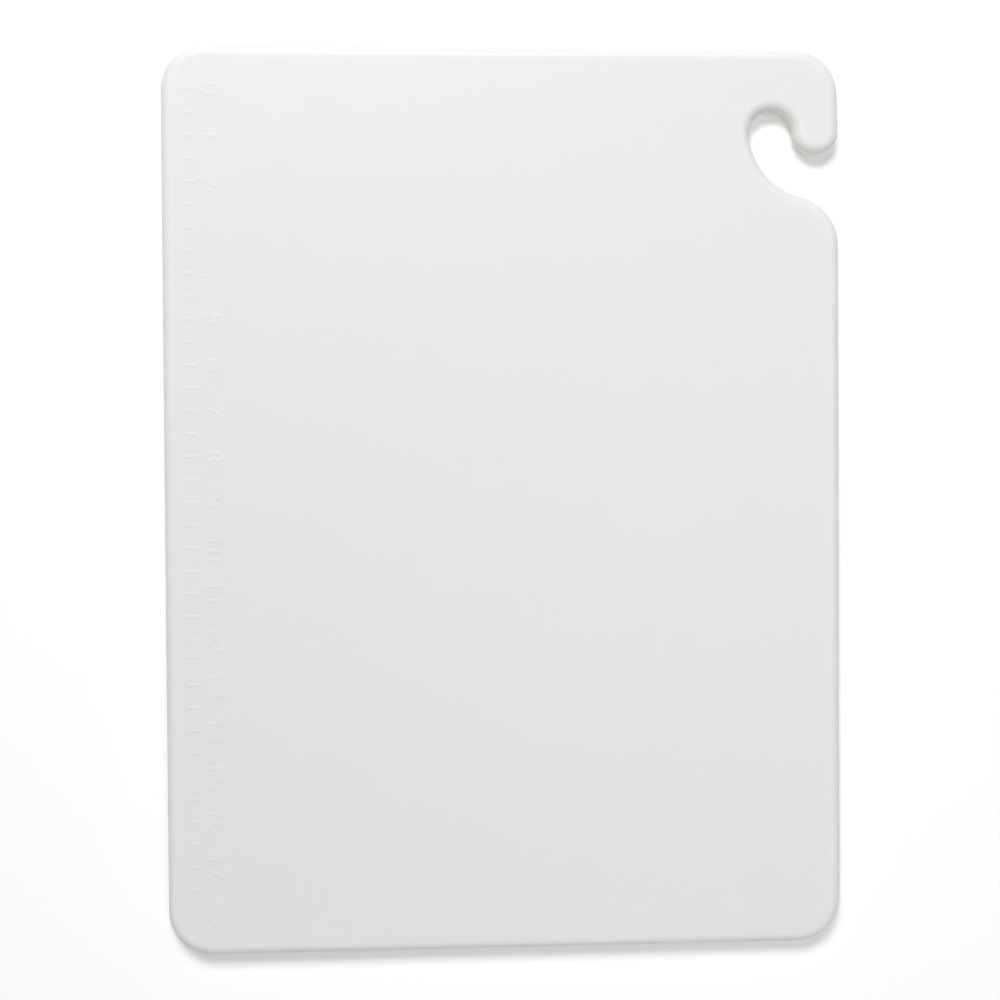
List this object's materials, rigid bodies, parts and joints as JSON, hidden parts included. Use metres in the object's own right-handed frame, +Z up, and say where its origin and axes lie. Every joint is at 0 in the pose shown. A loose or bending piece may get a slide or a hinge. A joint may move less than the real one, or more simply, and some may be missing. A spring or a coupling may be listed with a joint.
{
  "type": "cutting board",
  "caption": "Flat moulded plastic cutting board with a full-round edge, a corner hook for carrying and hanging, and a raised ruler along the opposite long side.",
  "frame": {"origin": "centre of the flat underside, on the surface that the board lies on", "axes": "+X across the width towards the side with the hook, +Y along the length towards the end with the hook, +Z up out of the ruled face"},
  "size_m": [0.381, 0.508, 0.0128],
  "materials": {
    "white_plastic": "fine matte grain from the mould, slightly warm where light passes through thin edges"
  },
  "bodies": {
    "root": {"board": "white_plastic"}
  },
  "joints": []
}
